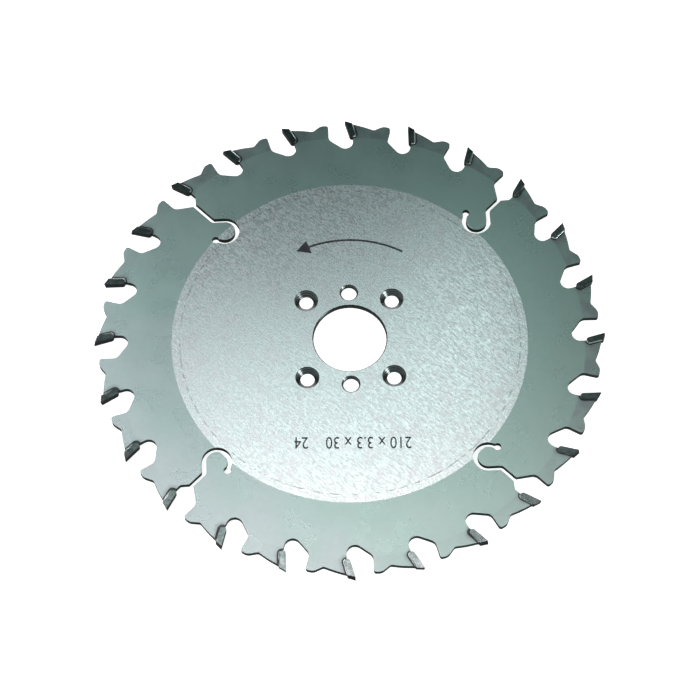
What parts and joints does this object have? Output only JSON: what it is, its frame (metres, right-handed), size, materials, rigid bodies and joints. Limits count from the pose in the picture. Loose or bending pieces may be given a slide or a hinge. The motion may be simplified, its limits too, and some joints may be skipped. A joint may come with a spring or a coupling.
{
  "type": "grooving saw blade",
  "caption": "Flat round saw blade with brazed hard-metal tips, chip limiters, hooked expansion slots and a flange-mounted hub, for cutting grooves in wood.",
  "frame": {"origin": "centre of the bore, halfway through the thickness", "axes": "+Z along the bore, out of the countersunk face; seen from +Z the blade cuts turning anticlockwise; the two pin holes lie on the Y axis"},
  "size_m": [0.21, 0.21, 0.0032],
  "materials": {
    "body_steel": "ground and satin-polished tool steel, coarser grind on the hub",
    "hard_metal": "ground cemented carbide, dark grey"
  },
  "bodies": {
    "root": {"blade_body": "body_steel", "tip_01": "hard_metal", "tip_02": "hard_metal", "tip_03": "hard_metal", "tip_04": "hard_metal", "tip_05": "hard_metal", "tip_06": "hard_metal", "tip_07": "hard_metal", "tip_08": "hard_metal", "tip_09": "hard_metal", "tip_10": "hard_metal", "tip_11": "hard_metal", "tip_12": "hard_metal", "tip_13": "hard_metal", "tip_14": "hard_metal", "tip_15": "hard_metal", "tip_16": "hard_metal", "tip_17": "hard_metal", "tip_18": "hard_metal", "tip_19": "hard_metal", "tip_20": "hard_metal", "tip_21": "hard_metal", "tip_22": "hard_metal", "tip_23": "hard_metal", "tip_24": "hard_metal"}
  },
  "joints": []
}
